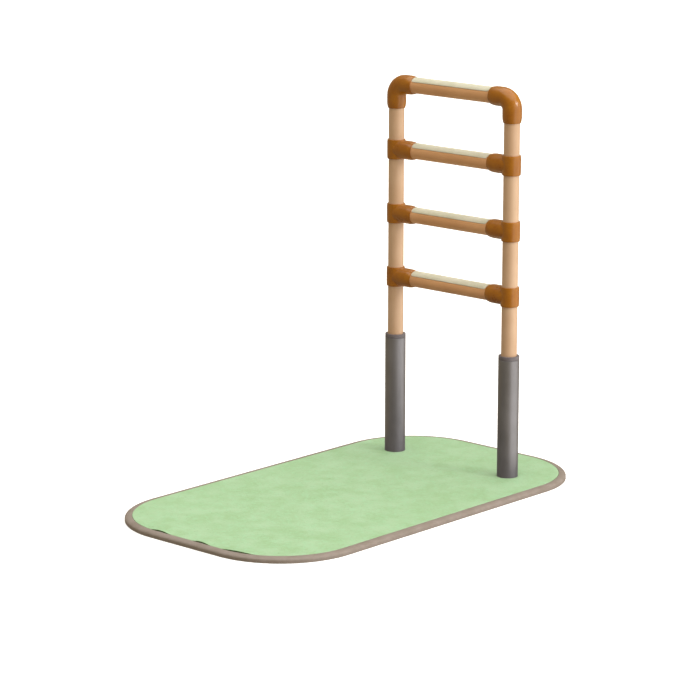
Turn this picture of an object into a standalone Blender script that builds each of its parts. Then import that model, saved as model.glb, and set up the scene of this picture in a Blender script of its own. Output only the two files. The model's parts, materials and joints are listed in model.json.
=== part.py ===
"""Floor-standing assist rail: a base to stand on, and a four-rail frame that slides in two sleeves.

+X runs along the rails, +Y along the base towards the posts, +Z up. Every size is in metres. The origin is
on the floor, under the middle of the base. Left is -X and right is +X. The frame is modelled fully raised.
"""

import math

import bmesh
import bpy

# Base: an underlay, a steel plate and a mat, all held by an edge trim
BASE_WIDTH = 0.5275
BASE_LENGTH = 0.935
BASE_CORNER_RADIUS = 0.171
UNDERLAY_THICKNESS = 0.0027
PLATE_THICKNESS = 0.0045
MAT_THICKNESS = 0.0030
TRIM_WIDTH = 0.0145
TRIM_GROOVE = 0.0050
TRIM_LIP_HEIGHT = 0.0050
TRIM_CREST = 0.0025

# Posts and sleeves
POST_SPACING = 0.305
POST_SETBACK = 0.163
POST_DIAMETER = 0.032
POST_WALL = 0.0025
POST_FOOT_HEIGHT = 0.150
SLEEVE_CLEARANCE = 0.00285
SLEEVE_WALL = 0.0025
SLEEVE_DIAMETER = POST_DIAMETER + 2 * (SLEEVE_CLEARANCE + SLEEVE_WALL)
SLEEVE_TOP_HEIGHT = 0.262
TRAVEL = 0.100

# Rails
TOP_RAIL_HEIGHT = 0.7843
TOP_PITCH = 0.1347
RUNG_PITCH = 0.1331
RAIL_DIAMETER = 0.032
RAIL_WALL = 0.0020
STRIP_THICKNESS = 0.0010
STRIP_HALF_ANGLE = math.radians(58)
STRIP_END_GAP = 0.0010

# Joints between the pipes
TEE_COLLAR_WALL = 0.0028
TEE_COLLAR_HEIGHT = 0.040
TEE_BRANCH_WALL = 0.0030
TEE_REACH = 0.052
TEE_WEB = 0.0044
ELBOW_WALL = 0.0034
ELBOW_REACH = 0.050
ELBOW_BEND_RADIUS = 0.0245
ELBOW_SOCKET_DEPTH = 0.022
MOUTH_TAPER = 0.0018
MOUTH_TAPER_LENGTH = 0.011

# Guides and fixings of the sleeves
BUSH_COLLAR_HEIGHT = 0.008
BUSH_DEPTH = 0.026
GLIDE_HEIGHT = 0.020
SPIGOT_HEIGHT = 0.014
FOOT_PLUG_HEIGHT = 0.012
FOOT_SCREW_DIAMETER = 0.006
FOOT_SCREW_HEAD_DIAMETER = 0.011
FOOT_SCREW_HEAD_HEIGHT = 0.0022
FOOT_SCREW_CIRCLE = 0.020
FOOT_SCREW_COUNT = 3
LOCK_HEIGHT = 0.205
LOCK_BOLT_DIAMETER = 0.007
LOCK_BOLT_HEAD_DIAMETER = 0.012
LOCK_BOLT_HEAD_HEIGHT = 0.0025
LOCK_SADDLE_DIAMETER = 0.013
LOCK_SADDLE_THICKNESS = 0.0010
LOCK_TIP_REACH = 0.001
LOCK_HEX_KEY = 0.004
FOOT_HEX_KEY = 0.004
KEY_DEPTH_SHARE = 0.6
SCREW_DEPTH_SHARE = 0.75

# Fits
GAP = 0.0003
EDGE = 0.0010
CUT = 0.002
MERGE = 0.00001
SEGMENTS = 32
CORNER_STEPS = 12
SHOULDER_STEPS = 6
RIM_STEPS = 3
TAPER_STEPS = 4
BEND_STEPS = 9
STRIP_STEPS = 14
HEX_SIDES = 6

# Levels and places that follow from the sizes above
PLATE_BOTTOM = UNDERLAY_THICKNESS + GAP
PLATE_TOP = PLATE_BOTTOM + PLATE_THICKNESS
MAT_BOTTOM = PLATE_TOP + GAP
MAT_TOP = MAT_BOTTOM + MAT_THICKNESS
POST_Y = BASE_LENGTH / 2 - POST_SETBACK
POST_X = POST_SPACING / 2
POST_RADIUS = POST_DIAMETER / 2
RAIL_RADIUS = RAIL_DIAMETER / 2
SLEEVE_RADIUS = SLEEVE_DIAMETER / 2
SLEEVE_BORE = SLEEVE_RADIUS - SLEEVE_WALL
LOCK_HOLE_RADIUS = LOCK_BOLT_DIAMETER / 2 + GAP
SIDES = {"left": -1, "right": 1}
RUNG_NAMES = ("upper", "middle", "lower")

MATERIALS = {
    "underlay_rubber": ((0.09, 0.09, 0.09), 0.85, 0.0),
    "plate_steel": ((0.33, 0.34, 0.35), 0.45, 1.0),
    "trim_elastomer": ((0.31, 0.26, 0.20), 0.60, 0.0),
    "mat_vinyl": ((0.40, 0.58, 0.33), 0.75, 0.0),
    "sleeve_paint": ((0.27, 0.26, 0.27), 0.40, 0.5),
    "fixing_steel": ((0.55, 0.55, 0.56), 0.35, 1.0),
    "bush_plastic": ((0.20, 0.19, 0.19), 0.50, 0.0),
    "post_coating": ((0.70, 0.43, 0.24), 0.45, 0.0),
    "rail_coating": ((0.63, 0.31, 0.12), 0.45, 0.0),
    "joint_plastic": ((0.28, 0.11, 0.012), 0.35, 0.0),
    "strip_elastomer": ((0.56, 0.54, 0.41), 0.70, 0.0),
}


def clear_scene():
    for obj in list(bpy.data.objects):
        bpy.data.objects.remove(obj)


def new_collection(name):
    collection = bpy.data.collections.new(name)
    bpy.context.scene.collection.children.link(collection)
    return collection


def principled(name):
    colour, roughness, metallic = MATERIALS[name]
    material = bpy.data.materials.new(name)
    material.use_nodes = True
    shader = material.node_tree.nodes["Principled BSDF"]
    shader.inputs["Base Color"].default_value = (*colour, 1.0)
    shader.inputs["Roughness"].default_value = roughness
    shader.inputs["Metallic"].default_value = metallic
    return material


def add_object(name, data, location=(0, 0, 0), rotation=(0, 0, 0)):
    obj = bpy.data.objects.new(name, data)
    obj.location = location
    obj.rotation_euler = rotation
    return obj


def keep(obj, material_name, parent):
    """Makes obj one of the part's nodes."""
    NODES.objects.link(obj)
    obj.data.materials.append(FINISH[material_name])
    obj.parent = parent
    obj.matrix_parent_inverse = parent.matrix_world.inverted()
    return obj


def as_cutter(obj):
    CUTTERS.objects.link(obj)
    obj.hide_render = True
    obj.display_type = "WIRE"
    return obj


def boolean(obj, other, operation="DIFFERENCE"):
    modifier = obj.modifiers.new(other.name, "BOOLEAN")
    modifier.operation = operation
    modifier.solver = "EXACT"
    modifier.object = other


def turned(name, profile, closed, location=(0, 0, 0), rotation=(0, 0, 0)):
    """A profile of (radius, height) points, turned about its own Z axis."""
    mesh = bpy.data.meshes.new(name)
    points = [(radius, 0, height) for radius, height in profile]
    edges = [(i, i + 1) for i in range(len(points) - 1)]
    if closed:
        edges.append((len(points) - 1, 0))
    mesh.from_pydata(points, edges, [])
    obj = add_object(name, mesh, location, rotation)
    screw = obj.modifiers.new("turn", "SCREW")
    screw.axis = "Z"
    screw.steps = SEGMENTS
    screw.render_steps = SEGMENTS
    screw.use_merge_vertices = True
    screw.merge_threshold = MERGE
    screw.use_smooth_shade = False
    return obj


def tube(name, outer, wall, length, location, rotation=(0, 0, 0)):
    inner = outer - wall
    profile = [(outer, length), (outer, 0), (inner, 0), (inner, length)]
    return turned(name, profile, True, location, rotation)


def rod(name, radius, length, location, rotation=(0, 0, 0), sides=SEGMENTS):
    """A solid cylinder, or a prism with few sides, from its location along its own +Z."""
    mesh = bpy.data.meshes.new(name)
    shape = bmesh.new()
    ends = {"radius1": radius, "radius2": radius, "depth": length}
    bmesh.ops.create_cone(shape, cap_ends=True, segments=sides, **ends)
    bmesh.ops.translate(shape, verts=shape.verts, vec=(0, 0, length / 2))
    shape.to_mesh(mesh)
    shape.free()
    return add_object(name, mesh, location, rotation)


def slot_cutter(name, radius, run, length, location, rotation):
    """A straight slot with round ends: the hull of two rods, run apart along its own X."""
    mesh = bpy.data.meshes.new(name)
    shape = bmesh.new()
    for offset in (0, run):
        ends = {"radius1": radius, "radius2": radius, "depth": length}
        made = bmesh.ops.create_cone(shape, cap_ends=True, segments=SEGMENTS, **ends)
        bmesh.ops.translate(shape, verts=made["verts"], vec=(offset, 0, length / 2))
    hull = bmesh.ops.convex_hull(shape, input=shape.verts)
    spare = {item for item in hull["geom_interior"] if isinstance(item, bmesh.types.BMVert)}
    bmesh.ops.delete(shape, geom=list(spare), context="VERTS")
    loose = [face for face in shape.faces if face not in set(hull["geom"])]
    bmesh.ops.delete(shape, geom=loose, context="FACES_ONLY")
    bmesh.ops.recalc_face_normals(shape, faces=shape.faces)
    shape.to_mesh(mesh)
    shape.free()
    return add_object(name, mesh, location, rotation)


def rounded_outline(inset):
    """The base's outline, brought in by inset, with its corner arcs kept concentric."""
    radius = BASE_CORNER_RADIUS - inset
    centre_x = BASE_WIDTH / 2 - BASE_CORNER_RADIUS
    centre_y = BASE_LENGTH / 2 - BASE_CORNER_RADIUS
    points = []
    for corner, (sign_x, sign_y) in enumerate(((1, 1), (-1, 1), (-1, -1), (1, -1))):
        for step in range(CORNER_STEPS + 1):
            angle = math.radians(90) * (corner + step / CORNER_STEPS)
            x = sign_x * centre_x + radius * math.cos(angle)
            y = sign_y * centre_y + radius * math.sin(angle)
            points.append((x, y))
    return points


def circle(centre_x, centre_y, radius, sides=SEGMENTS):
    angles = [math.tau * step / sides for step in range(sides)]
    return [(centre_x + radius * math.cos(a), centre_y + radius * math.sin(a)) for a in angles]


def add_loop(curve, points):
    spline = curve.splines.new("POLY")
    spline.points.add(len(points) - 1)
    for point, (x, y) in zip(spline.points, points):
        point.co = (x, y, 0, 1)
    spline.use_cyclic_u = True


def flat_piece(name, loops, thickness, location=(0, 0, 0), rotation=(0, 0, 0)):
    """A filled outline with holes, of a thickness about its own XY plane."""
    curve = bpy.data.curves.new(name, "CURVE")
    curve.dimensions = "2D"
    curve.fill_mode = "BOTH"
    curve.extrude = thickness / 2
    for points in loops:
        add_loop(curve, points)
    return add_object(name, curve, location, rotation)


def layer(name, inset, bottom, thickness, holes):
    """One of the base's sheets, lying flat, with its holes."""
    loops = [rounded_outline(inset)] + holes
    return flat_piece(name, loops, thickness, (0, 0, bottom + thickness / 2))


def foot_screw_places(side):
    """The middles of the screws under one sleeve."""
    turns = [math.tau * step / FOOT_SCREW_COUNT for step in range(FOOT_SCREW_COUNT)]
    radius = FOOT_SCREW_CIRCLE / 2
    x = side * POST_X
    return [(x + radius * math.cos(turn), POST_Y + radius * math.sin(turn)) for turn in turns]


def foot_screw_holes(radius):
    places = [place for side in SIDES.values() for place in foot_screw_places(side)]
    return [circle(x, y, radius, SEGMENTS // 2) for x, y in places]


def make_base():
    head_holes = foot_screw_holes(FOOT_SCREW_HEAD_DIAMETER / 2 + GAP)
    underlay = layer("underlay", TRIM_WIDTH + GAP, 0, UNDERLAY_THICKNESS, head_holes)
    keep(underlay, "underlay_rubber", BASE)

    shank_holes = foot_screw_holes(FOOT_SCREW_DIAMETER / 2 + GAP)
    plate_inset = TRIM_WIDTH - TRIM_GROOVE + GAP
    plate = layer("base_plate", plate_inset, PLATE_BOTTOM, PLATE_THICKNESS, shank_holes)
    keep(plate, "plate_steel", BASE)

    sleeve_holes = [circle(s * POST_X, POST_Y, SLEEVE_RADIUS + GAP) for s in SIDES.values()]
    mat = layer("mat", TRIM_WIDTH + GAP, MAT_BOTTOM, MAT_THICKNESS, sleeve_holes)
    keep(mat, "mat_vinyl", BASE)


def trim_section():
    """The trim's section: x outwards from its inner face, y up from the floor."""
    section = [(0, 0), (TRIM_WIDTH, 0)]
    for step in range(SHOULDER_STEPS + 1):
        angle = math.radians(90) * step / SHOULDER_STEPS
        x = TRIM_CREST + (TRIM_WIDTH - TRIM_CREST) * math.cos(angle)
        y = TRIM_LIP_HEIGHT + (MAT_TOP - TRIM_LIP_HEIGHT) * math.sin(angle)
        section.append((x, y))
    section += [(0, MAT_TOP), (0, PLATE_TOP + GAP), (TRIM_GROOVE, PLATE_TOP + GAP)]
    section += [(TRIM_GROOVE, PLATE_BOTTOM - GAP), (0, PLATE_BOTTOM - GAP)]
    return section


def make_trim():
    section_curve = bpy.data.curves.new("trim_section", "CURVE")
    section_curve.dimensions = "2D"
    section_curve.fill_mode = "NONE"
    add_loop(section_curve, trim_section()[::-1])
    section = as_cutter(add_object("trim_section", section_curve))

    path = bpy.data.curves.new("edge_trim", "CURVE")
    path.dimensions = "3D"
    path.twist_mode = "Z_UP"
    path.bevel_mode = "OBJECT"
    path.bevel_object = section
    add_loop(path, rounded_outline(TRIM_WIDTH))
    keep(add_object("edge_trim", path), "trim_elastomer", BASE)


def make_sleeve(word, side):
    x = side * POST_X
    top = SLEEVE_TOP_HEIGHT - BUSH_COLLAR_HEIGHT - GAP
    length = top - MAT_BOTTOM
    sleeve = tube(f"sleeve_{word}", SLEEVE_RADIUS, SLEEVE_WALL, length, (x, POST_Y, MAT_BOTTOM))
    keep(sleeve, "sleeve_paint", BASE)
    hole_start = (x, POST_Y, LOCK_HEIGHT)
    hole_length = SLEEVE_RADIUS + CUT
    hole = as_cutter(rod(f"lock_hole_{word}", LOCK_HOLE_RADIUS, hole_length, hole_start, REARWARDS))
    boolean(sleeve, hole)

    plug_radius = SLEEVE_BORE - GAP
    plug = rod(f"sleeve_foot_{word}", plug_radius, FOOT_PLUG_HEIGHT, (x, POST_Y, MAT_BOTTOM))
    keep(plug, "fixing_steel", BASE)
    for number, place in enumerate(foot_screw_places(side), 1):
        make_foot_screw(f"{word}_{number}", place, plug)


def make_foot_screw(suffix, place, plug):
    """A low-headed screw, head down: under the plate, through it, and into the sleeve's foot."""
    radius = FOOT_SCREW_DIAMETER / 2
    head_radius = FOOT_SCREW_HEAD_DIAMETER / 2
    head_top = PLATE_BOTTOM - GAP
    head_bottom = head_top - FOOT_SCREW_HEAD_HEIGHT
    tip = MAT_BOTTOM + FOOT_PLUG_HEIGHT * SCREW_DEPTH_SHARE
    profile = [(0, tip), (radius, tip), (radius, head_top), (head_radius, head_top)]
    profile += [(head_radius, head_bottom + EDGE), (head_radius - EDGE, head_bottom), (0, head_bottom)]
    screw = turned(f"foot_screw_{suffix}", profile, False, (*place, 0))
    keep(screw, "fixing_steel", BASE)
    key_depth = FOOT_SCREW_HEAD_HEIGHT * KEY_DEPTH_SHARE
    key_radius = FOOT_HEX_KEY / math.sqrt(3)
    key_start = (*place, head_bottom - CUT)
    key = rod(f"foot_key_{suffix}", key_radius, CUT + key_depth, key_start, sides=HEX_SIDES)
    boolean(screw, as_cutter(key))

    hole_start = (*place, MAT_BOTTOM - CUT)
    hole_length = CUT + tip + GAP - MAT_BOTTOM
    hole = rod(f"foot_hole_{suffix}", radius + GAP, hole_length, hole_start)
    boolean(plug, as_cutter(hole))


def make_guide_bush(word, side):
    """A liner in the sleeve's mouth, with a collar on its rim, that the post slides through."""
    bore = POST_RADIUS + GAP
    rim = SLEEVE_RADIUS
    body = SLEEVE_BORE - GAP
    top = SLEEVE_TOP_HEIGHT
    step = top - BUSH_COLLAR_HEIGHT
    bottom = step - BUSH_DEPTH
    profile = [(bore + EDGE, top), (rim - EDGE, top), (rim, top - EDGE), (rim, step)]
    profile += [(body, step), (body, bottom), (bore, bottom), (bore, top - EDGE)]
    bush = turned(f"guide_bush_{word}", profile, True, (side * POST_X, POST_Y, 0))
    keep(bush, "bush_plastic", BASE)


def make_lock(word, side):
    """A curved washer on the sleeve's back, and the bolt whose tip runs in the post's slot."""
    x = side * POST_X
    axis_start = (x, POST_Y, LOCK_HEIGHT)
    saddle_end = SLEEVE_RADIUS + GAP + LOCK_SADDLE_THICKNESS
    saddle = rod(f"lock_saddle_{word}", LOCK_SADDLE_DIAMETER / 2, saddle_end, axis_start, REARWARDS)
    keep(saddle, "fixing_steel", BASE)
    seat_start = (x, POST_Y, LOCK_HEIGHT - LOCK_SADDLE_DIAMETER)
    seat = rod(f"saddle_seat_{word}", SLEEVE_RADIUS + GAP, LOCK_SADDLE_DIAMETER * 2, seat_start)
    boolean(saddle, as_cutter(seat))
    hole = rod(f"saddle_hole_{word}", LOCK_HOLE_RADIUS, saddle_end + CUT, axis_start, REARWARDS)
    boolean(saddle, as_cutter(hole))

    tip = POST_RADIUS - POST_WALL - LOCK_TIP_REACH
    neck = saddle_end + GAP
    head_end = neck + LOCK_BOLT_HEAD_HEIGHT
    radius = LOCK_BOLT_DIAMETER / 2
    head = LOCK_BOLT_HEAD_DIAMETER / 2
    profile = [(0, head_end), (head - EDGE, head_end), (head, head_end - EDGE), (head, neck)]
    profile += [(radius, neck), (radius, tip + EDGE), (radius - EDGE, tip), (0, tip)]
    bolt = turned(f"lock_bolt_{word}", profile, False, axis_start, REARWARDS)
    keep(bolt, "fixing_steel", BASE)
    key_length = LOCK_BOLT_HEAD_HEIGHT * KEY_DEPTH_SHARE
    key_start = (x, POST_Y + head_end - key_length, LOCK_HEIGHT)
    key_radius = LOCK_HEX_KEY / math.sqrt(3)
    key = rod(f"lock_key_{word}", key_radius, key_length + CUT, key_start, REARWARDS, HEX_SIDES)
    boolean(bolt, as_cutter(key))


def make_post(word, side):
    x = side * POST_X
    post_top = TOP_RAIL_HEIGHT - ELBOW_REACH + ELBOW_SOCKET_DEPTH - GAP
    length = post_top - POST_FOOT_HEIGHT
    post = tube(f"post_{word}", POST_RADIUS, POST_WALL, length, (x, POST_Y, POST_FOOT_HEIGHT))
    keep(post, "post_coating", FRAME)
    slot_start = (x, POST_Y, LOCK_HEIGHT)
    slot_length = POST_RADIUS + CUT
    slot = slot_cutter(f"slot_{word}", LOCK_HOLE_RADIUS, TRAVEL, slot_length, slot_start, REAR_UPWARDS)
    boolean(post, as_cutter(slot))

    glide_radius = SLEEVE_BORE - GAP
    spigot = POST_RADIUS - POST_WALL - GAP
    top = POST_FOOT_HEIGHT - GAP
    bottom = top - GLIDE_HEIGHT
    profile = [(0, top + SPIGOT_HEIGHT), (spigot, top + SPIGOT_HEIGHT), (spigot, top)]
    profile += [(glide_radius, top), (glide_radius, bottom + EDGE), (glide_radius - EDGE, bottom)]
    profile += [(0, bottom)]
    glide = turned(f"post_glide_{word}", profile, False, (x, POST_Y, 0))
    keep(glide, "bush_plastic", FRAME)


def tapered_mouth(radius, reach):
    """Profile points from a socket's mouth back to its full radius, mouth first."""
    points = [(radius - MOUTH_TAPER - EDGE, reach)]
    for step in range(TAPER_STEPS + 1):
        share = step / TAPER_STEPS
        drop = MOUTH_TAPER * (1 - share) ** 2
        points.append((radius - drop, reach - EDGE - share * MOUTH_TAPER_LENGTH))
    return points


def soft_rim(radius, end):
    """Profile points round a rim's edge, from its flat end out to its side."""
    angles = [math.radians(90) * step / RIM_STEPS for step in range(RIM_STEPS + 1)]
    return [(radius - EDGE * (1 - math.sin(a)), end - EDGE * (1 - math.cos(a))) for a in angles]


def make_tee(name, side, height):
    """A collar round the post and a socket for the rung, as one moulding."""
    centre = (side * POST_X, POST_Y, height)
    inwards = FACING[-side]
    collar_radius = POST_RADIUS + GAP + TEE_COLLAR_WALL
    half = TEE_COLLAR_HEIGHT / 2
    rim = soft_rim(collar_radius, half)
    profile = [(0, half)] + rim + [(radius, -end) for radius, end in reversed(rim)] + [(0, -half)]
    tee = turned(name, profile, False, centre)
    keep(tee, "joint_plastic", FRAME)

    branch_radius = RAIL_RADIUS + GAP + TEE_BRANCH_WALL
    profile = [(0, TEE_REACH)] + tapered_mouth(branch_radius, TEE_REACH) + [(branch_radius, 0), (0, 0)]
    branch = turned(f"{name}_branch", profile, False, centre, inwards)
    boolean(tee, as_cutter(branch), "UNION")

    post_start = (side * POST_X, POST_Y, height - half - CUT)
    post_bore = rod(f"{name}_post_bore", POST_RADIUS + GAP, TEE_COLLAR_HEIGHT + 2 * CUT, post_start)
    boolean(tee, as_cutter(post_bore))
    socket_floor = POST_RADIUS + GAP + TEE_WEB
    socket_start = (side * (POST_X - socket_floor), POST_Y, height)
    socket_length = TEE_REACH - socket_floor + CUT
    socket = rod(f"{name}_socket", RAIL_RADIUS + GAP, socket_length, socket_start, inwards)
    boolean(tee, as_cutter(socket))


def elbow_path():
    """Points of the elbow's middle line and its share of the full radius there, from the post's mouth.

    x runs inwards along the rail and z up, from where the post's and the rail's axes cross."""
    leg = [(ELBOW_REACH, 1 - (MOUTH_TAPER + EDGE) / ELBOW_OUTER)]
    for step in range(TAPER_STEPS + 1):
        share = step / TAPER_STEPS
        drop = MOUTH_TAPER * (1 - share) ** 2
        leg.append((ELBOW_REACH - EDGE - share * MOUTH_TAPER_LENGTH, 1 - drop / ELBOW_OUTER))
    bend = []
    for step in range(BEND_STEPS + 1):
        angle = math.radians(90) * step / BEND_STEPS
        x = ELBOW_BEND_RADIUS * (1 - math.cos(angle))
        z = ELBOW_BEND_RADIUS * (math.sin(angle) - 1)
        bend.append((x, z, 1))
    up = [(0, -distance, share) for distance, share in leg]
    along = [(distance, 0, share) for distance, share in reversed(leg)]
    return up + bend + along


def make_elbow(word, side):
    """A quarter bend with a socket for the post and a socket for the top rail."""
    centre = (side * POST_X, POST_Y, TOP_RAIL_HEIGHT)
    curve = bpy.data.curves.new(f"elbow_{word}", "CURVE")
    curve.dimensions = "3D"
    curve.bevel_depth = ELBOW_OUTER
    # A bevel's section has four sides and two more for each step of its resolution
    curve.bevel_resolution = (SEGMENTS - 4) // 2
    curve.use_fill_caps = True
    path = elbow_path()
    spline = curve.splines.new("POLY")
    spline.points.add(len(path) - 1)
    for point, (x, z, share) in zip(spline.points, path):
        point.co = (-side * x, 0, z, 1)
        point.radius = share
    swept = add_object(f"elbow_sweep_{word}", curve, centre)
    elbow = add_object(f"elbow_{word}", mesh_of(swept), centre)
    keep(elbow, "joint_plastic", FRAME)

    depth = ELBOW_SOCKET_DEPTH + CUT
    post_start = (side * POST_X, POST_Y, TOP_RAIL_HEIGHT - ELBOW_REACH - CUT)
    post_socket = rod(f"elbow_post_socket_{word}", POST_RADIUS + GAP, depth, post_start)
    boolean(elbow, as_cutter(post_socket))
    floor = ELBOW_REACH - ELBOW_SOCKET_DEPTH
    rail_start = (side * (POST_X - floor), POST_Y, TOP_RAIL_HEIGHT)
    rail_socket = rod(f"elbow_rail_socket_{word}", RAIL_RADIUS + GAP, depth, rail_start, FACING[-side])
    boolean(elbow, as_cutter(rail_socket))


def mesh_of(curve_object):
    """The curve's surface as a mesh, with its caps welded on. The curve object is removed."""
    bpy.context.scene.collection.objects.link(curve_object)
    evaluated = curve_object.evaluated_get(bpy.context.evaluated_depsgraph_get())
    mesh = bpy.data.meshes.new_from_object(evaluated)
    shape = bmesh.new()
    shape.from_mesh(mesh)
    bmesh.ops.remove_doubles(shape, verts=shape.verts, dist=MERGE)
    bmesh.ops.recalc_face_normals(shape, faces=shape.faces)
    shape.to_mesh(mesh)
    shape.free()
    bpy.data.objects.remove(curve_object)
    return mesh


def strip_section():
    """An arc band over the top of a rail: x across the rail, y up."""
    inner = RAIL_RADIUS + GAP
    outer = inner + STRIP_THICKNESS
    angles = [STRIP_HALF_ANGLE * (2 * step / STRIP_STEPS - 1) for step in range(STRIP_STEPS + 1)]
    over = [(outer * math.sin(a), outer * math.cos(a)) for a in angles]
    under = [(inner * math.sin(a), inner * math.cos(a)) for a in reversed(angles)]
    return over + under


def make_rail(name, height, end_inset, mouth_inset):
    """A rail between the posts, and the soft strip along its top."""
    length = POST_SPACING - 2 * end_inset
    rail = tube(name, RAIL_RADIUS, RAIL_WALL, length, (-length / 2, POST_Y, height), FACING[1])
    keep(rail, "rail_coating", FRAME)
    strip_length = POST_SPACING - 2 * (mouth_inset + STRIP_END_GAP)
    strip = flat_piece(f"{name}_strip", [strip_section()], strip_length, (0, POST_Y, height), ALONG_RAIL)
    keep(strip, "strip_elastomer", FRAME)


def make_frame():
    rail_end = ELBOW_REACH - ELBOW_SOCKET_DEPTH + GAP
    make_rail("top_rail", TOP_RAIL_HEIGHT, rail_end, ELBOW_REACH)
    rung_end = POST_RADIUS + GAP + TEE_WEB + GAP
    for number, level in enumerate(RUNG_NAMES):
        height = TOP_RAIL_HEIGHT - TOP_PITCH - RUNG_PITCH * number
        make_rail(f"rung_{level}", height, rung_end, TEE_REACH)
        for word, side in SIDES.items():
            make_tee(f"tee_{word}_{level}", side, height)
    for word, side in SIDES.items():
        make_post(word, side)
        make_elbow(word, side)


def add_empty(name, location):
    empty = bpy.data.objects.new(name, None)
    empty.location = location
    bpy.context.scene.collection.objects.link(empty)
    bpy.context.view_layer.update()
    return empty


# Turns of a piece's own Z axis: towards the back, and to each side; and of an outline's plane
REARWARDS = (math.radians(-90), 0, 0)
REAR_UPWARDS = (math.radians(-90), math.radians(-90), 0)
FACING = {1: (0, math.radians(90), 0), -1: (0, math.radians(-90), 0)}
ALONG_RAIL = (math.radians(90), 0, math.radians(90))
ELBOW_OUTER = max(POST_RADIUS, RAIL_RADIUS) + GAP + ELBOW_WALL

clear_scene()
NODES = new_collection("assist_rail")
CUTTERS = new_collection("cutters")
FINISH = {name: principled(name) for name in MATERIALS}
BASE = add_empty("base_origin", (0, 0, 0))
FRAME = add_empty("height_slide", (0, POST_Y, SLEEVE_TOP_HEIGHT))

make_base()
make_trim()
for side_word, side_sign in SIDES.items():
    make_sleeve(side_word, side_sign)
    make_guide_bush(side_word, side_sign)
    make_lock(side_word, side_sign)
make_frame()
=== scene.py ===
"""Looks of the floor-standing assist rail: its visible pieces, finishes, floor, lights and camera.

Lengths are in metres, in the part's own frame: +X along the rails, +Y towards the posts, +Z up.
"""

import json
import math

import bmesh
import bpy
from mathutils import Matrix, Vector, noise


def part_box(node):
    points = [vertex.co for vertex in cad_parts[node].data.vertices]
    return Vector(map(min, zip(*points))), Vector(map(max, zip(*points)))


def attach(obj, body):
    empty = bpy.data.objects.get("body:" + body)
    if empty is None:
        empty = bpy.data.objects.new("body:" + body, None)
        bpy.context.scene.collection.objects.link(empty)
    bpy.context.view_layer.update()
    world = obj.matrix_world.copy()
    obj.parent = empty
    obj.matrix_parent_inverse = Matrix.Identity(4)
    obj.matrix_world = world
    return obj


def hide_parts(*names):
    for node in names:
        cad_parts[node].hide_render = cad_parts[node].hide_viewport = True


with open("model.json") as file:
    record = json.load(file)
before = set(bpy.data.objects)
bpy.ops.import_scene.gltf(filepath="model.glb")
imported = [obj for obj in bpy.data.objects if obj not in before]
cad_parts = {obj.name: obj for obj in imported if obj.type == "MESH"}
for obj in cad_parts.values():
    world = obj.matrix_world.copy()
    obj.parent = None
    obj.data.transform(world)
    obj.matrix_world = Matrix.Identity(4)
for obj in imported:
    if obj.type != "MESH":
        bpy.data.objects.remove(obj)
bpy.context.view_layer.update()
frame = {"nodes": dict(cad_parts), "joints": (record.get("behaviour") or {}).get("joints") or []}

# Camera
VIEW_AZIMUTH = 42.316
VIEW_ELEVATION = 13.015
VIEW_ROLL = math.radians(0.088)
VIEW_DISTANCE = 5.886
VIEW_TARGET = Vector((0, 0, 0.2625))
VIEW_OFFSET = (-0.0023, 0.0373)
VIEW_LENS = 153.3
VIEW_FAR = 200

# Sizes of the part that its nodes' boxes don't give
GAP = 0.0003
CORNER_RADIUS = 0.171
TRIM_LIP = 0.0050
TRIM_SLOPE = 0.0120
TRIM_GROOVE = 0.0050
SLEEVE_WALL = 0.0025
POST_WALL = 0.0025
RAIL_WALL = 0.0020
ELBOW_BEND = 0.0245
TEE_WEB = 0.0044
ARM_ROOT = 0.4
ARM_END_IN = 0.002
MOUTH_TAPER = 0.0018
MOUTH_TAPER_LENGTH = 0.012
MOUTH_INSIDE = 3
BOLT_SHANK = 0.0035
BOLT_HOLE = BOLT_SHANK + GAP
BOLT_HEAD_DEPTH = 0.0025
BOLT_KEY = 0.004
BOLT_KEY_DEPTH = 0.0015

# Softened edges
SOFT_EDGE = 0.0006
MAT_RIM = 0.0007
SLEEVE_RIM = 0.0004
BUSH_FOOT_IN = 0.0003
BUSH_FOOT_UP = 0.0004
BUSH_RIM = 0.0009
BUSH_LEAD = 0.0012
BOLT_TIP = 0.001
FIXING_CHAMFER = 0.0003
BOLT_DOME = 0.0012
BOLT_DOME_IN = 0.0016
KEY_LEAD = 0.0004
KEY_LEAD_DEPTH = 0.0002
MOUTH_LEAD = 0.0005
MOUTH_LIP = 0.0009
TEE_LIP = 0.0011
TEE_LIP_IN = 0.0004
TEE_LIP_LENGTH = 0.005

# Surface of the mat: each curl of its front edge is (middle along X, half its length), and the
# spread says how much of the edge's lift is left further into the sheet, as (distance, share)
CURLS = ((-0.078, 0.024), (0.032, 0.021), (0.122, 0.034))
CURL_HEIGHT = 0.0030
CURL_FADE = 6
RIPPLE_HEIGHT = 0.00018
RIPPLE_SCALE = 24
RIPPLE_LEVEL = 3.1
MAT_SPREAD = ((0.004, 0.85), (0.012, 0.4), (0.03, 0.08), (0.06, 0), (0.14, 0))

# Grip strips: the skin keeps the top off the underside where the two come together at the sides,
# and the end rise does so at the ends, as a share of the square of the full thickness
STRIP_CORNER = 0.005
STRIP_GROOVES = 9
STRIP_GROOVE_DEPTH = 0.00022
STRIP_GROOVE_EDGE = 6
STRIP_SOFT_END = 0.0012
STRIP_SOFT_SIDE = 0.06
STRIP_SKIN = 0.00001
STRIP_FILL = 0.999
STRIP_END_RISE = 0.02
STRIP_CREASE = math.radians(50)

# Room
WARM = (1, 0.85, 0.58)
FILL_STRENGTH = 0.36
LAMP_DISTANCE = 4.0
FLOOR_SIZE = 60
FLOOR_GAP = 0.0005
ROOM_RADIUS = 29
ROOM_HEIGHT = 40
ROOM_DROP = 0.1

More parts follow.
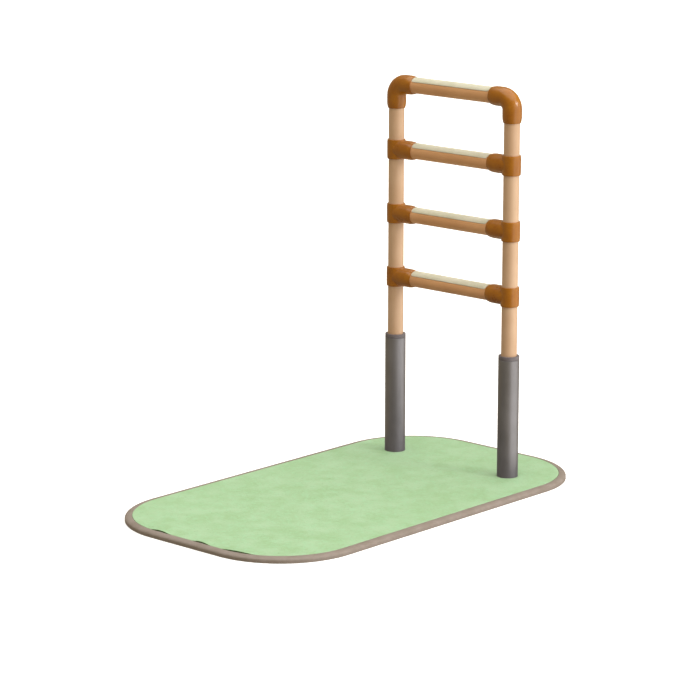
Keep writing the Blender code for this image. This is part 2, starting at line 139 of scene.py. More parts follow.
# Points round or along each kind of curve
ROUND = 72
BOLT_ROUND = 48
HOLE_ROUND = 32
CORNER_STEPS = 20
STRAIGHT_STEPS = 26
SHOULDER_STEPS = 10
RIM_STEPS = 4
LIP_STEPS = 3
TAPER_STEPS = 6
BEND_STEPS = 20
SLOT_STEPS = 12
STRIP_STEPS = 72
STRIP_END_STEPS = 8

# The rest: a quarter turn, the angle past which an edge is sharp, how far a cutting shape runs past
# what it cuts, and the names of the sides and of the rungs
QUARTER = math.radians(90)
CREASE = math.radians(32)
OVERSHOOT = 0.01
SIDES = {"left": -1, "right": 1}
LEVELS = ("upper", "middle", "lower")


# ---------------------------------------------------------------- finishes


class Field:
    """A node's output that can be added and multiplied; each operation adds a Math node."""

    def __init__(self, finish, socket):
        self.finish = finish
        self.socket = socket

    def apply(self, operation, *values):
        return self.finish.node("Math", {"operation": operation}, dict(enumerate(values)))

    def __add__(self, other):
        return self.apply("ADD", self, other)

    def __radd__(self, other):
        return self.apply("ADD", other, self)

    def __mul__(self, other):
        return self.apply("MULTIPLY", self, other)

    def __rmul__(self, other):
        return self.apply("MULTIPLY", other, self)

    def band(self, low, high):
        """0 below low, 1 above high, and smooth between them."""
        ends = {"From Min": low, "From Max": high, "Value": self}
        return self.finish.node("MapRange", {"interpolation_type": "SMOOTHSTEP"}, ends)


class Finish:
    """A material made of nodes round one Principled shader."""

    def __init__(self, name, roughness=0.5, **constants):
        self.material = bpy.data.materials.new(name)
        self.material.use_nodes = True
        self.tree = self.material.node_tree
        self.shader = self.tree.nodes["Principled BSDF"]
        self.shader.inputs["Roughness"].default_value = roughness
        for word, value in constants.items():
            socket = word.replace("_", " ").title().replace("Ior", "IOR")
            self.shader.inputs[socket].default_value = value

    def node(self, kind, settings=None, inputs=None, output=0):
        """A node of that kind, with its settings made first and then its sockets fed."""
        made = self.tree.nodes.new(f"ShaderNode{kind}")
        for name, value in (settings or {}).items():
            setattr(made, name, value)
        for key, value in (inputs or {}).items():
            self.feed(made.inputs[key], value)
        return Field(self, made.outputs[output])

    def feed(self, socket, value):
        if isinstance(value, Field):
            self.tree.links.new(value.socket, socket)
        elif socket.type == "RGBA" and len(value) == 3:
            socket.default_value = (*value, 1.0)
        else:
            socket.default_value = value

    def place(self):
        """The point on the piece, in the part's frame."""
        return self.node("TexCoord", output="Object")

    def stretched(self, scale):
        """The same point with its axes scaled, which draws a pattern out along the small ones."""
        return self.node("Mapping", None, {"Vector": self.place(), "Scale": scale})

    def cloud(self, scale, detail=3.0, rough=0.5, where=None):
        inputs = {"Vector": where or self.place(), "Scale": scale, "Detail": detail}
        return self.node("TexNoise", None, {**inputs, "Roughness": rough})

    def cells(self, scale, feature="F1"):
        inputs = {"Vector": self.place(), "Scale": scale}
        return self.node("TexVoronoi", {"feature": feature}, inputs, "Distance")

    def mix(self, share, first, second):
        inputs = {"Factor": share, 6: first, 7: second}
        return self.node("Mix", {"data_type": "RGBA"}, inputs, 2)

    def colour(self, value):
        self.feed(self.shader.inputs["Base Color"], value)

    def rough(self, value):
        self.feed(self.shader.inputs["Roughness"], value)

    def relief(self, *layers):
        """Bumps laid over each other: each layer is its height field and its depth in metres."""
        normal = None
        for height, depth in layers:
            inputs = {"Height": height, "Distance": depth, "Strength": 1.0}
            if normal:
                inputs["Normal"] = normal
            normal = self.node("Bump", None, inputs)
        self.feed(self.shader.inputs["Normal"], normal)

    def show(self, shown):
        """Sets the material on a piece or a CAD node, in place of what it has."""
        shown.data.materials.clear()
        shown.data.materials.append(self.material)


def srgb(red, green, blue):
    """A colour in the units that a shader takes, from the 0 to 255 of a swatch."""
    shares = [channel / 255 for channel in (red, green, blue)]
    return tuple(s / 12.92 if s <= 0.04045 else ((s + 0.055) / 1.055) ** 2.4 for s in shares)


def resin_coat(name, deep, light, fleck):
    """Resin coating on the pipes: satin, with an orange-peel skin and faint handling marks."""
    finish = Finish(name, 0.42, coat_weight=0.12, coat_roughness=0.25)
    mottle = finish.cloud(scale=14, detail=4)
    speck = finish.cloud(scale=900, detail=2).band(0.66, 0.74)
    tone = finish.mix(mottle.band(0.3, 0.7), deep, light)
    finish.colour(finish.mix(speck * 0.22, tone, fleck))
    rub = finish.cloud(scale=60, detail=3, where=finish.stretched((1, 1, 0.15)))
    finish.rough(0.36 + rub.band(0.4, 0.75) * 0.14)
    finish.relief((finish.cloud(scale=420, detail=2), 0.00006), (rub, 0.00004))
    return finish


def brown_moulding():
    """Injection-moulded joints: ochre brown, finely textured, a little worn to a shine."""
    finish = Finish("brown_moulding", 0.3, specular_ior_level=0.25, coat_weight=0.7, coat_roughness=0.19)
    flow = finish.cloud(scale=35, detail=4, rough=0.55)
    grain = finish.cells(scale=1500)
    tone = finish.mix(flow.band(0.3, 0.72), srgb(161, 95, 1), srgb(176, 110, 4))
    finish.colour(finish.mix(grain.band(0.45, 0.8) * 0.18, tone, srgb(108, 60, 5)))
    finish.rough(0.27 + flow.band(0.35, 0.7) * 0.12)
    finish.relief((grain, 0.00005), (finish.cloud(scale=180, detail=2), 0.00008))
    return finish


def cream_strip():
    """Soft grip strip: matt, pale, with a fine pebbled skin and a little grime."""
    finish = Finish("cream_strip", 0.72)
    grime = finish.cloud(scale=22, detail=5, rough=0.6)
    pebble = finish.cells(scale=1300)
    tone = finish.mix(grime.band(0.35, 0.75), srgb(224, 221, 201), srgb(209, 208, 183))
    finish.colour(finish.mix(pebble.band(0.5, 0.8) * 0.15, tone, srgb(168, 160, 130)))
    finish.rough(0.64 + grime.band(0.3, 0.7) * 0.16)
    finish.relief((pebble, 0.00008), (finish.cloud(scale=90, detail=3), 0.0001))
    return finish


def green_mat():
    """Foamed vinyl on the base: light green, softly mottled, a shallow leather emboss, and painted shade
    on faces not facing up.
    """
    finish = Finish("green_mat", 0.7)
    patch = finish.cloud(scale=26, detail=4, rough=0.6)
    fleck = finish.cloud(scale=140, detail=3, rough=0.6)
    speck = finish.cloud(scale=240, detail=2)
    emboss = finish.cells(scale=420, feature="SMOOTH_F1")
    tone = finish.mix(patch.band(0.3, 0.7), srgb(154, 191, 144), srgb(168, 201, 162))
    tone = finish.mix(fleck.band(0.45, 0.7) * 0.6, tone, srgb(160, 206, 164))
    tone = finish.mix(speck.band(0.6, 0.7) * 0.3, tone, srgb(124, 163, 114))
    tone = finish.mix(emboss.band(0.5, 0.9) * 0.2, tone, srgb(131, 165, 111))
    # Painted shade: faces that turn away from up, the mat's cut rim and the sides of its lifted curls,
    # are coloured deep green.
    normal = finish.node("NewGeometry", output="Normal")
    facing_up = finish.node("SeparateXYZ", None, {0: normal}, "Z")
    finish.colour(finish.mix(facing_up.band(0.7, 0.3), tone, srgb(72, 96, 52)))
    finish.rough(0.62 + patch.band(0.3, 0.7) * 0.16)
    finish.relief((emboss, 0.00018), (fleck, 0.0001))
    return finish


def taupe_edge():
    """Elastomer edge trim: taupe, slightly rubbed along its shoulder and darker towards the floor."""
    finish = Finish("taupe_edge", 0.58)
    height = finish.node("SeparateXYZ", None, {0: finish.place()}, "Z")
    rub = finish.cloud(scale=45, detail=4, rough=0.6)
    tone = finish.mix(rub.band(0.3, 0.7), srgb(134, 122, 112), srgb(146, 134, 126))
    # The colour darkens towards the floor, below 4 mm of height.
    finish.colour(finish.mix(height.band(0.004, 0.0005) * 0.35, tone, srgb(132, 120, 108)))
    finish.rough(0.5 + rub.band(0.35, 0.7) * 0.2)
    finish.relief((finish.cloud(scale=700, detail=2), 0.00007), (rub, 0.0002))
    return finish


def grey_paint():
    """Powder paint on the sleeves: mid grey, satin, with fine peel and light rubbing."""
    finish = Finish("grey_paint", 0.42, metallic=0.7, coat_weight=0.1, coat_roughness=0.2)
    mottle = finish.cloud(scale=18, detail=4)
    peel = finish.cloud(scale=650, detail=2)
    tone = finish.mix(mottle.band(0.3, 0.7), srgb(135, 133, 136), srgb(145, 143, 147))
    finish.colour(finish.mix(peel.band(0.6, 0.75) * 0.15, tone, srgb(112, 108, 110)))
    finish.rough(0.4 + mottle.band(0.35, 0.7) * 0.08)
    finish.relief((peel, 0.00007))
    return finish


def grey_plastic():
    """Moulded guide bushes and glides: dark grey, matt, faintly turned."""
    finish = Finish("grey_plastic", 0.5)
    cloud = finish.cloud(scale=80, detail=3)
    grain = finish.cells(scale=1400)
    finish.colour(finish.mix(cloud.band(0.3, 0.7), srgb(103, 97, 101), srgb(117, 111, 115)))
    finish.rough(0.44 + cloud.band(0.3, 0.7) * 0.14)
    finish.relief((grain, 0.00005))
    return finish


def zinc_steel():
    """Zinc-plated fixings: fine brushed grain with a slightly patchy bright plating."""
    finish = Finish("zinc_steel", 0.3, metallic=1.0)
    patch = finish.cloud(scale=120, detail=3)
    grain = finish.cloud(scale=900, detail=2, where=finish.stretched((1, 1, 0.1)))
    finish.colour(finish.mix(patch.band(0.3, 0.7), srgb(176, 178, 182), srgb(206, 207, 210)))
    finish.rough(0.26 + grain * 0.16)
    finish.relief((grain, 0.00004))
    return finish


def primed_steel():
    """Primed base plate: flat grey with mill marks along its length."""
    finish = Finish("primed_steel", 0.55, metallic=0.3)
    mill = finish.cloud(scale=70, detail=4, rough=0.6, where=finish.stretched((1, 0.06, 1)))
    finish.colour(finish.mix(mill.band(0.3, 0.7), srgb(112, 115, 118), srgb(134, 137, 140)))
    finish.rough(0.48 + mill * 0.16)
    finish.relief((mill, 0.0001))
    return finish


def black_rubber():
    """Non-slip underlay: matt black rubber with a woven-looking press pattern and dust."""
    finish = Finish("black_rubber", 0.85)
    dust = finish.cloud(scale=40, detail=4, rough=0.6)
    studs = finish.cells(scale=260)
    finish.colour(finish.mix(dust.band(0.45, 0.8), srgb(42, 42, 43), srgb(78, 76, 74)))
    finish.rough(0.8 + dust * 0.12)
    finish.relief((studs, 0.0004))
    return finish


# ---------------------------------------------------------------- meshes


def new_piece(name, mesh, crease=CREASE):
    """An object from a mesh, smooth but for its edges sharper than the crease."""
    mesh.shade_smooth()
    mesh.set_sharp_from_angle(angle=crease)
    made = bpy.data.objects.new(name, mesh)
    bpy.context.scene.collection.objects.link(made)
    return made


def ringed(name, rings, wrap=False, crease=CREASE):
    """A closed skin over rings of equal counts of points; wrap joins the last ring to the first."""
    mesh = bpy.data.meshes.new(name)
    shape = bmesh.new()
    rows = [[shape.verts.new(point) for point in ring] for ring in rings]
    pairs = list(zip(rows, rows[1:]))
    if wrap:
        pairs.append((rows[-1], rows[0]))
    for low, high in pairs:
        for i in range(len(low)):
            j = (i + 1) % len(low)
            shape.faces.new((low[i], low[j], high[j], high[i]))
    if not wrap:
        shape.faces.new(rows[0][::-1])
        shape.faces.new(rows[-1])
    bmesh.ops.recalc_face_normals(shape, faces=shape.faces)
    shape.to_mesh(mesh)
    shape.free()
    return new_piece(name, mesh, crease)


def circle(centre, radius, across, up, count=ROUND):
    """Points of a circle about centre, in the plane of two unit vectors."""
    turns = [math.tau * i / count for i in range(count)]
    return [centre + (across * math.cos(t) + up * math.sin(t)) * radius for t in turns]


def lathed(name, axis_point, axis, profile, wrap=False, count=ROUND):
    """A profile of (distance along the axis, radius), turned about it."""
    axis = Vector(axis).normalized()
    across = axis.orthogonal().normalized()
    up = axis.cross(across)
    start = Vector(axis_point)
    rings = [circle(start + axis * along, radius, across, up, count) for along, radius in profile]
    return ringed(name, rings, wrap)


def cut(piece, *steps):
    """Cuts or joins helper shapes, each with its operation, into the piece; they are used up."""
    for operation, helper in steps:
        modifier = piece.modifiers.new(operation, "BOOLEAN")
        modifier.operation = operation
        modifier.object = helper
    bpy.context.view_layer.update()
    evaluated = piece.evaluated_get(bpy.context.evaluated_depsgraph_get())
    mesh = bpy.data.meshes.new_from_object(evaluated)
    piece.modifiers.clear()
    piece.data = mesh
    mesh.shade_smooth()
    mesh.set_sharp_from_angle(angle=CREASE)
    for _, helper in steps:
        bpy.data.objects.remove(helper)


def rounded(corner, start, end, steps=RIM_STEPS):
    """Points of a quarter arc that rounds a profile's corner, from start to end."""
    corner = Vector(corner)
    back, onward = Vector(start) - corner, Vector(end) - corner
    turns = [QUARTER * step / steps for step in range(steps + 1)]
    return [tuple(corner + back * (1 - math.sin(t)) + onward * (1 - math.cos(t))) for t in turns]


def box_of(node):
    """A CAD node's lowest and highest corners, its middle, and half its size."""
    low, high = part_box(node)
    return low, high, (low + high) / 2, (high - low) / 2


def finish_piece(piece, body, finish, node):
    """Gives a piece its finish, its body and the CAD node that it stands for."""
    finish.show(piece)
    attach(piece, body)
    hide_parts(node)


# ---------------------------------------------------------------- base


def outline(inset):
    """The base's rounded outline, inset from its outer edge, with points along its straights."""
    _, _, _, half = box_of("edge_trim")
    radius = CORNER_RADIUS - inset
    reach_x, reach_y = half.x - CORNER_RADIUS, half.y - CORNER_RADIUS
    corners = ((1, 1), (-1, 1), (-1, -1), (1, -1))
    centres = [Vector((x * reach_x, y * reach_y)) for x, y in corners]
    points = []

    def on_corner(number, turn):
        return centres[number % len(centres)] + Vector((math.cos(turn), math.sin(turn))) * radius

    for number in range(len(corners)):
        turns = [QUARTER * (number + step / CORNER_STEPS) for step in range(CORNER_STEPS + 1)]
        points += [on_corner(number, turn) for turn in turns]
        start, end = points[-1], on_corner(number + 1, turns[-1])
        points += [start.lerp(end, step / STRAIGHT_STEPS) for step in range(1, STRAIGHT_STEPS)]
    return points


def base_ring(inset, height, share=0):
    """One ring of points round the base, at a height plus a share of the mat's lift there."""
    return [Vector((p.x, p.y, height + share * mat_lift(p))) for p in outline(inset)]


def edge_trim(finish):
    """The bevelled trim: a flat foot, a short lip, a round shoulder and a groove for the plate."""
    low, high, _, half = box_of("edge_trim")
    _, _, _, mat_half = box_of("mat")
    plate_low, plate_high, _, _ = box_of("base_plate")
    inner = half.x - mat_half.x - GAP
    section = [(inner, low.z), (SOFT_EDGE, low.z), (0, low.z + SOFT_EDGE), (0, TRIM_LIP * 0.5)]
    section += rounded((0, high.z), (0, TRIM_LIP), (TRIM_SLOPE, high.z), SHOULDER_STEPS)
    section += [(inner - SOFT_EDGE, high.z), (inner, high.z - SOFT_EDGE)]
    section += [(inner, plate_high.z + GAP), (inner - TRIM_GROOVE, plate_high.z + GAP)]
    section += [(inner - TRIM_GROOVE, plate_low.z - GAP), (inner, plate_low.z - GAP)]
    columns = [base_ring(inset, height) for inset, height in section]
    rings = [list(ring) for ring in zip(*columns)]
    trim = ringed("bevelled_trim", rings, wrap=True)
    finish_piece(trim, "base", finish, "edge_trim")


def mat_lift(point):
    """How far the mat's edge stands off the plate: small waves, and curls along the front end."""
    _, _, _, half = box_of("mat")
    front = max(0.0, -point.y / half.y) ** CURL_FADE
    ripple = noise.noise(Vector((point.x * RIPPLE_SCALE, point.y * RIPPLE_SCALE, RIPPLE_LEVEL)))
    curl = max(0.0, *(1 - ((point.x - middle) / reach) ** 2 for middle, reach in CURLS))
    return front * CURL_HEIGHT * curl + RIPPLE_HEIGHT * max(0.0, ripple)


def standing_mat(finish):
    """The mat: one sheet with a rounded rim, holes for the sleeves and a slightly wavy edge."""
    low, high, _, mat_half = box_of("mat")
    _, _, _, half = box_of("edge_trim")
    rim = half.x - mat_half.x
    edge = [(rim + SOFT_EDGE, low.z), (rim, low.z + SOFT_EDGE)]
    edge += rounded((rim, high.z), (rim, high.z - MAT_RIM), (rim + MAT_RIM, high.z))
    rings = [base_ring(rim + extra, low.z, share) for extra, share in reversed(MAT_SPREAD)]
    rings += [base_ring(inset, height, share=1) for inset, height in edge]
    rings += [base_ring(rim + extra, high.z, share) for extra, share in MAT_SPREAD]
    mat = ringed("standing_mat", rings)
    holes = []
    for word in SIDES:
        _, _, middle, sleeve_half = box_of(f"sleeve_{word}")
        hole_radius = sleeve_half.x + GAP
        start = (middle.x, middle.y, low.z - OVERSHOOT)
        profile = [(0, hole_radius), (high.z - low.z + 2 * OVERSHOOT, hole_radius)]
        holes.append(("DIFFERENCE", lathed("hole", start, (0, 0, 1), profile)))
    cut(mat, *holes)
    finish_piece(mat, "base", finish, "mat")
    unseen_by_light(mat)


# ---------------------------------------------------------------- sleeves


def sleeve(word, finish):
    """A painted tube with softened rims and the lock bolt's hole in its back."""
    low, high, middle, half = box_of(f"sleeve_{word}")
    _, _, bolt, _ = box_of(f"lock_bolt_{word}")
    outer, inner = half.x, half.x - SLEEVE_WALL
    profile = [(low.z, outer), (high.z - SLEEVE_RIM, outer), (high.z, outer - SLEEVE_RIM)]
    profile += [(high.z, inner + SLEEVE_RIM), (high.z - SLEEVE_RIM, inner), (low.z, inner)]
    tube = lathed(f"sleeve_tube_{word}", (middle.x, middle.y, 0), (0, 0, 1), profile, wrap=True)
    bore = [(0, BOLT_HOLE), (outer + OVERSHOOT, BOLT_HOLE)]
    hole = lathed("hole", (middle.x, middle.y, bolt.z), (0, 1, 0), bore, count=HOLE_ROUND)
    cut(tube, ("DIFFERENCE", hole))
    finish_piece(tube, "base", finish, f"sleeve_{word}")


def guide_bush(word, finish):
    """The collar on the sleeve's rim, round-edged, with the liner below it."""
    low, high, middle, half = box_of(f"guide_bush_{word}")
    _, sleeve_high, _, _ = box_of(f"sleeve_{word}")
    _, _, _, post_half = box_of(f"post_{word}")
    bore = post_half.x + GAP
    rim = half.x
    body = rim - SLEEVE_WALL - GAP
    step = sleeve_high.z + GAP
    profile = [(low.z, body), (step, body), (step, rim - BUSH_FOOT_IN), (step + BUSH_FOOT_UP, rim)]
    profile += rounded((high.z, rim), (high.z - BUSH_RIM, rim), (high.z, rim - BUSH_RIM))
    profile += rounded((high.z, bore), (high.z, bore + BUSH_LEAD), (high.z - BUSH_LEAD, bore))
    profile += [(low.z, bore)]
    bush = lathed(f"bush_{word}", (middle.x, middle.y, 0), (0, 0, 1), profile, wrap=True)
    finish_piece(bush, "base", finish, f"guide_bush_{word}")


def hexagon(centre, width, across, up, count):
    """Points of a hexagon of that width across its flats."""
    points = []
    side = math.tau / 6
    for i in range(count):
        t = math.tau * i / count
        radius = width / 2 / math.cos(t % side - side / 2)
        points.append(centre + (across * math.cos(t) + up * math.sin(t)) * radius)
    return points


def lock_bolt(word, finish):
    """A low round head with a hexagon socket, and a plain shank with a chamfered tip."""
    low, high, middle, half = box_of(f"lock_bolt_{word}")
    across, up, axis = Vector((1, 0, 0)), Vector((0, 0, -1)), Vector((0, 1, 0))
    start = Vector((middle.x, 0, middle.z))
    head, shank, key = half.x, BOLT_SHANK, BOLT_KEY
    neck = high.y - BOLT_HEAD_DEPTH
    profile = [(low.y, shank - BOLT_TIP), (low.y + BOLT_TIP, shank), (neck, shank)]
    profile += [(neck, head - FIXING_CHAMFER), (neck + FIXING_CHAMFER, head)]
    profile += rounded((high.y, head), (high.y - BOLT_DOME, head), (high.y, head - BOLT_DOME_IN))
    rings = []
    for along, radius in profile:
        rings.append(circle(start + axis * along, radius, across, up, BOLT_ROUND))
    for depth, width in ((0, key + KEY_LEAD), (KEY_LEAD_DEPTH, key), (BOLT_KEY_DEPTH, key)):
        rings.append(hexagon(start + axis * (high.y - depth), width, across, up, BOLT_ROUND))
    bolt = ringed(f"bolt_{word}", rings)
    finish_piece(bolt, f"{word}_bolt", finish, f"lock_bolt_{word}")


def saddle_washer(word, finish):
    """The curved washer between the sleeve's back and the bolt's head."""
    _, high, middle, half = box_of(f"lock_saddle_{word}")
    _, _, sleeve_middle, sleeve_half = box_of(f"sleeve_{word}")
    across, up = Vector((1, 0, 0)), Vector((0, 0, -1))
    seat = sleeve_half.x + GAP

    def on_seat(ring):
        for p in ring:
            p.y = sleeve_middle.y + math.sqrt(seat**2 - (p.x - middle.x) ** 2)
        return ring

    start = Vector((middle.x, 0, middle.z))
    top = start + Vector((0, high.y, 0))
    shoulder = top - Vector((0, FIXING_CHAMFER, 0))
    rings = [on_seat(circle(start, radius, across, up)) for radius in (BOLT_HOLE, half.x)]
    rings += [circle(shoulder, half.x, across, up), circle(top, half.x - FIXING_CHAMFER, across, up)]
    rings += [circle(top, BOLT_HOLE, across, up)]
    washer = ringed(f"washer_{word}", rings, wrap=True)
    finish_piece(washer, "base", finish, f"lock_saddle_{word}")


# ---------------------------------------------------------------- rail frame


def post(word, finish):
    """A coated pipe with the lock bolt's slot down its back."""
    low, high, middle, half = box_of(f"post_{word}")
    _, _, bolt, _ = box_of(f"lock_bolt_{word}")
    outer, inner = half.x, half.x - POST_WALL
    profile = [(low.z, outer), (high.z, outer), (high.z, inner), (low.z, inner)]
    pipe = lathed(f"post_pipe_{word}", (middle.x, middle.y, 0), (0, 0, 1), profile, wrap=True)
    travel = -frame["joints"][0]["range_m"][0]
    face = []
    for first_turn, level in ((0, bolt.z + travel), (math.pi, bolt.z)):
        for step in range(SLOT_STEPS + 1):
            t = first_turn + math.pi * step / SLOT_STEPS
            face.append((BOLT_HOLE * math.cos(t), level + BOLT_HOLE * math.sin(t)))
    ends = (middle.y + inner / 2, middle.y + outer + OVERSHOOT)
    rings = [[Vector((middle.x + x, y, z)) for x, z in face] for y in ends]
    cut(pipe, ("DIFFERENCE", ringed("slot", rings)))
    finish_piece(pipe, "rail_frame", finish, f"post_{word}")


def mouth(radius, bore, depth, reach):
    """A socket's profile from its floor out over the lip to its full outside radius.

    Each point is (distance from the joint's centre, radius). The first MOUTH_INSIDE are inside it.
    """
    lip = radius - MOUTH_TAPER
    taper_start = reach - MOUTH_LIP
    points = [(reach - depth, bore), (reach - MOUTH_LEAD, bore), (reach, bore + MOUTH_LEAD)]
    points += rounded((reach, lip), (reach, lip - MOUTH_LIP), (taper_start, lip), LIP_STEPS)
    for step in range(1, TAPER_STEPS + 1):
        share = step / TAPER_STEPS
        fall = MOUTH_TAPER * (1 - share) ** 2
        points.append((taper_start - share * MOUTH_TAPER_LENGTH, radius - fall))
    return points


def elbow(word, side, finish):
    """A quarter bend of even section, with a round-lipped socket at each end."""
    low, high, _, _ = box_of(f"elbow_{word}")
    _, post_high, post_middle, post_half = box_of(f"post_{word}")
    _, _, rail_middle, rail_half = box_of("top_rail")
    centre = Vector((post_middle.x, post_middle.y, rail_middle.z))
    radius = high.z - centre.z
    reach = centre.z - low.z
    depth = post_high.z - low.z + GAP
    inwards = Vector((-side, 0, 0))
    upwards = Vector((0, 0, 1))
    depthwise = Vector((0, 1, 0))
    rings = []
    for distance, r in mouth(radius, post_half.x + GAP, depth, reach):
        rings.append(circle(centre - upwards * distance, r, inwards, depthwise))
    pivot = centre + (inwards - upwards) * ELBOW_BEND
    for step in range(BEND_STEPS + 1):
        t = QUARTER * step / BEND_STEPS
        out = -inwards * math.cos(t) + upwards * math.sin(t)
        rings.append(circle(pivot + out * ELBOW_BEND, radius, -out, depthwise))
    for distance, r in reversed(mouth(radius, rail_half.z + GAP, depth, reach)):
        rings.append(circle(centre + inwards * distance, r, -upwards, depthwise))
    bent = ringed(f"elbow_moulding_{word}", rings)
    finish_piece(bent, "rail_frame", finish, f"elbow_{word}")


def tee(word, side, level, finish):
    """A collar round the post with a socket for the rung, one moulding."""
    node = f"tee_{word}_{level}"
    low, high, _, _ = box_of(node)
    _, _, post_middle, post_half = box_of(f"post_{word}")
    _, _, rung, rung_half = box_of(f"rung_{level}")
    centre = Vector((post_middle.x, post_middle.y, rung.z))
    half = (high.z - low.z) / 2
    outside, inside = (high.x, low.x) if side > 0 else (low.x, high.x)
    collar = abs(outside - centre.x)
    reach = abs(inside - centre.x)
    branch = (high.y - low.y) / 2
    lip = collar - TEE_LIP_IN
    lips = rounded((half, lip), (half, lip - TEE_LIP), (half - TEE_LIP, lip))
    profile = lips + [(half - TEE_LIP_LENGTH, collar), (TEE_LIP_LENGTH - half, collar)]
    profile += [(-along, radius) for along, radius in reversed(lips)]
    body = lathed(f"tee_moulding_{word}_{level}", centre, (0, 0, 1), profile)
    inwards = (-side, 0, 0)
    bore = rung_half.z + GAP
    floor = post_half.x + GAP + TEE_WEB
    arm_profile = mouth(branch, bore, reach - floor, reach)[MOUTH_INSIDE:]
    arm_profile += [(collar * ARM_ROOT, branch), (0, branch - ARM_END_IN)]
    arm = lathed("arm", centre, inwards, arm_profile, count=ROUND - 2)
    flare = [(floor, bore), (reach - SOFT_EDGE, bore), (reach + SOFT_EDGE, bore + 2 * SOFT_EDGE)]
    socket = lathed("socket", centre, inwards, flare, count=ROUND + 4)
    post_bore = post_half.x + GAP
    passage = lathed("passage", centre, (0, 0, 1), [(-2 * half, post_bore), (2 * half, post_bore)])
    cut(body, ("UNION", arm), ("DIFFERENCE", socket), ("DIFFERENCE", passage))
    finish_piece(body, "rail_frame", finish, node)


def rail(node, finish):
    """A coated pipe between two joints."""
    low, high, middle, half = box_of(node)
    outer, inner = half.z, half.z - RAIL_WALL
    profile = [(low.x, outer), (high.x, outer), (high.x, inner), (low.x, inner)]
    pipe = lathed(f"{node}_pipe", (0, middle.y, middle.z), (1, 0, 0), profile, wrap=True)
    finish_piece(pipe, "rail_frame", finish, node)


def grip_strip(node, finish):
    """The strip over a rail: an arc with fine grooves along it, rounded at its corners and ends."""
    low, high, _, half = box_of(f"{node}_strip")
    _, _, rail_middle, rail_half = box_of(node)
    inner = rail_half.z + GAP
    outer = high.z - rail_middle.z
    full_thickness = outer - inner
    full_angle = math.asin(half.y / outer)

    def section(x, thickness, half_angle):
        """The strip's outline across the rail at x, from one side over the top to the other."""
        ring = []
        for step in range(STRIP_STEPS + 1):
            share = 2 * step / STRIP_STEPS - 1
            near_side = max(0.0, 1 - (1 - abs(share)) / STRIP_SOFT_SIDE)
            crown = math.sqrt(max(0.0, 1 - near_side**2))
            groove = max(0.0, math.cos(math.pi * STRIP_GROOVES * share)) ** STRIP_GROOVE_EDGE
            height = thickness * (STRIP_FILL * crown - groove * STRIP_GROOVE_DEPTH / full_thickness)
            ring.append((share * half_angle, inner + STRIP_SKIN + height))
        under = [(share * half_angle, inner) for share in (1.0, 0.5, 0.0, -0.5, -1.0)]
        place = Vector((x, rail_middle.y, rail_middle.z))
        return [place + Vector((0, math.sin(a), math.cos(a))) * r for a, r in ring + under]

    stations = []
    for step in range(STRIP_END_STEPS + 1):
        t = QUARTER * step / STRIP_END_STEPS
        along = STRIP_CORNER * (1 - math.cos(t))
        narrowing = STRIP_CORNER * (1 - math.sin(t)) / outer
        short_of_full = max(0.0, 1 - along / STRIP_SOFT_END)
        rise = full_thickness * math.sqrt(max(STRIP_END_RISE, 1 - short_of_full**2))
        stations.append((along, rise, full_angle - narrowing))
    rings = [section(low.x + along, rise, angle) for along, rise, angle in stations]
    rings += [section(high.x - along, rise, angle) for along, rise, angle in reversed(stations)]
    strip = ringed(f"{node}_grip", rings, crease=STRIP_CREASE)
    finish_piece(strip, "rail_frame", finish, f"{node}_strip")


# ---------------------------------------------------------------- stage


def lay_floor():
    """A pale, slightly glowing sheet that takes the part's shadow."""
    finish = Finish("pale_floor", 0.9, emission_color=(1, 1, 1, 1), emission_strength=0.5)
    cloud = finish.cloud(scale=0.8, detail=2)
    finish.colour(finish.mix(cloud, (0.9, 0.9, 0.9), (0.92, 0.92, 0.92)))
    shape = bmesh.new()
    bmesh.ops.create_grid(shape, x_segments=1, y_segments=1, size=FLOOR_SIZE)
    mesh = bpy.data.meshes.new("floor")
    shape.to_mesh(mesh)
    shape.free()
    floor = new_piece("floor", mesh)
    floor.location.z = -FLOOR_GAP
    finish.show(floor)
    unseen_by_light(floor)
    floor.visible_shadow = False


def unseen_by_light(piece):
    """The piece is seen, but the others take no tint or reflection from it."""
    piece.visible_diffuse = False
    piece.visible_glossy = False


def towards(azimuth, elevation):
    """The unit vector at an azimuth, from the front towards +X, and an elevation, in degrees."""
    azimuth, elevation = math.radians(azimuth), math.radians(elevation)
    flat = math.cos(elevation)
    return Vector((math.sin(azimuth) * flat, -math.cos(azimuth) * flat, math.sin(elevation)))


def sun(name, azimuth, elevation, strength, softness):
    """Even light from a direction, from a disc of that many degrees across."""
    lamp = bpy.data.lights.new(name, "SUN")
    lamp.energy = strength
    lamp.angle = math.radians(softness)
    made = bpy.data.objects.new(name, lamp)
    made.rotation_euler = towards(azimuth, elevation).to_track_quat("Z", "Y").to_euler()
    bpy.context.scene.collection.objects.link(made)


def soft_box(name, azimuth, elevation, size, power):
    """A wide and a high panel of light, facing the part."""
    lamp = bpy.data.lights.new(name, "AREA")
    lamp.shape = "RECTANGLE"
    lamp.size, lamp.size_y = size
    lamp.energy = power
    made = bpy.data.objects.new(name, lamp)
    away = towards(azimuth, elevation)
    made.location = VIEW_TARGET + away * LAMP_DISTANCE
    made.rotation_euler = away.to_track_quat("Z", "Y").to_euler()
    bpy.context.scene.collection.objects.link(made)


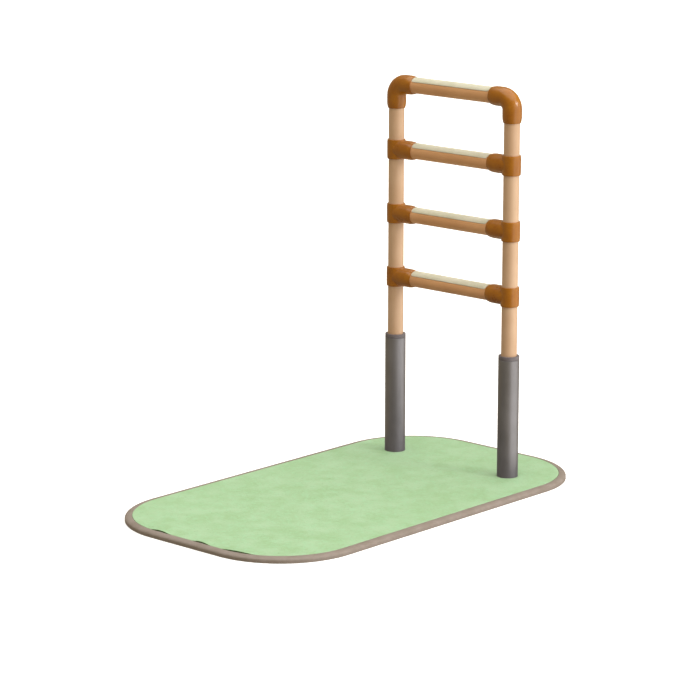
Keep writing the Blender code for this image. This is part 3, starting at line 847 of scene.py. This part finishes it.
def light_room():
    """Warm dim fill, a key and a high sun, two soft boxes on the +X side, and a white backdrop."""
    world = bpy.data.worlds.new("studio")
    world.use_nodes = True
    background = world.node_tree.nodes["Background"]
    background.inputs["Color"].default_value = (*WARM, 1)
    background.inputs["Strength"].default_value = FILL_STRENGTH
    bpy.context.scene.world = world
    sun("key", azimuth=106, elevation=24, strength=0.95, softness=18)
    sun("top", azimuth=100, elevation=84, strength=2.5, softness=90)
    soft_box("side", azimuth=112, elevation=-4, size=(7, 6), power=134)
    soft_box("front", azimuth=70, elevation=0, size=(3, 6), power=12)
    shell = circle(Vector((0, 0, -ROOM_DROP)), ROOM_RADIUS, Vector((1, 0, 0)), Vector((0, 1, 0)))
    backdrop = ringed("backdrop", [shell, [p + Vector((0, 0, ROOM_HEIGHT)) for p in shell]])
    glow = Finish("white_backdrop", 1.0, emission_color=(1, 1, 1, 1), emission_strength=1.0)
    glow.colour((0, 0, 0))
    glow.show(backdrop)
    unseen_by_light(backdrop)
    backdrop.visible_shadow = False


def place_camera():
    """The camera looks at the part's middle, a little turned and set off to one side."""
    back = towards(VIEW_AZIMUTH, VIEW_ELEVATION)
    right = towards(VIEW_AZIMUTH + 90, 0)
    up = back.cross(right)
    turn = Matrix.Rotation(VIEW_ROLL, 3, back)
    right, up = turn @ right, turn @ up
    lens = bpy.data.cameras.new("camera")
    lens.lens = VIEW_LENS
    lens.clip_end = VIEW_FAR
    camera = bpy.data.objects.new("camera", lens)
    spot = VIEW_TARGET + right * VIEW_OFFSET[0] + up * VIEW_OFFSET[1] + back * VIEW_DISTANCE
    camera.matrix_world = Matrix.Translation(spot) @ Matrix((right, up, back)).transposed().to_4x4()
    bpy.context.scene.collection.objects.link(camera)
    bpy.context.scene.camera = camera


bpy.context.scene.view_settings.view_transform = "Standard"
beige = resin_coat("beige_coat", srgb(208, 170, 135), srgb(218, 183, 150), srgb(176, 136, 100))
tan = resin_coat("tan_coat", srgb(222, 165, 115), srgb(231, 176, 125), srgb(188, 130, 80))
brown, cream = brown_moulding(), cream_strip()
grey, bushing, zinc = grey_paint(), grey_plastic(), zinc_steel()
edge_trim(taupe_edge())
standing_mat(green_mat())
for word, side in SIDES.items():
    sleeve(word, grey)
    guide_bush(word, bushing)
    lock_bolt(word, zinc)
    saddle_washer(word, zinc)
    post(word, beige)
    elbow(word, side, brown)
    for level in LEVELS:
        tee(word, side, level, brown)
for node in ["top_rail"] + [f"rung_{level}" for level in LEVELS]:
    rail(node, tan)
    grip_strip(node, cream)
hidden = {"underlay": black_rubber(), "base_plate": primed_steel()}
for node, shown in frame["nodes"].items():
    if node.startswith(("foot_screw", "sleeve_foot")):
        zinc.show(shown)
    elif node.startswith("post_glide"):
        bushing.show(shown)
    elif node in hidden:
        hidden[node].show(shown)

lay_floor()
light_room()
place_camera()
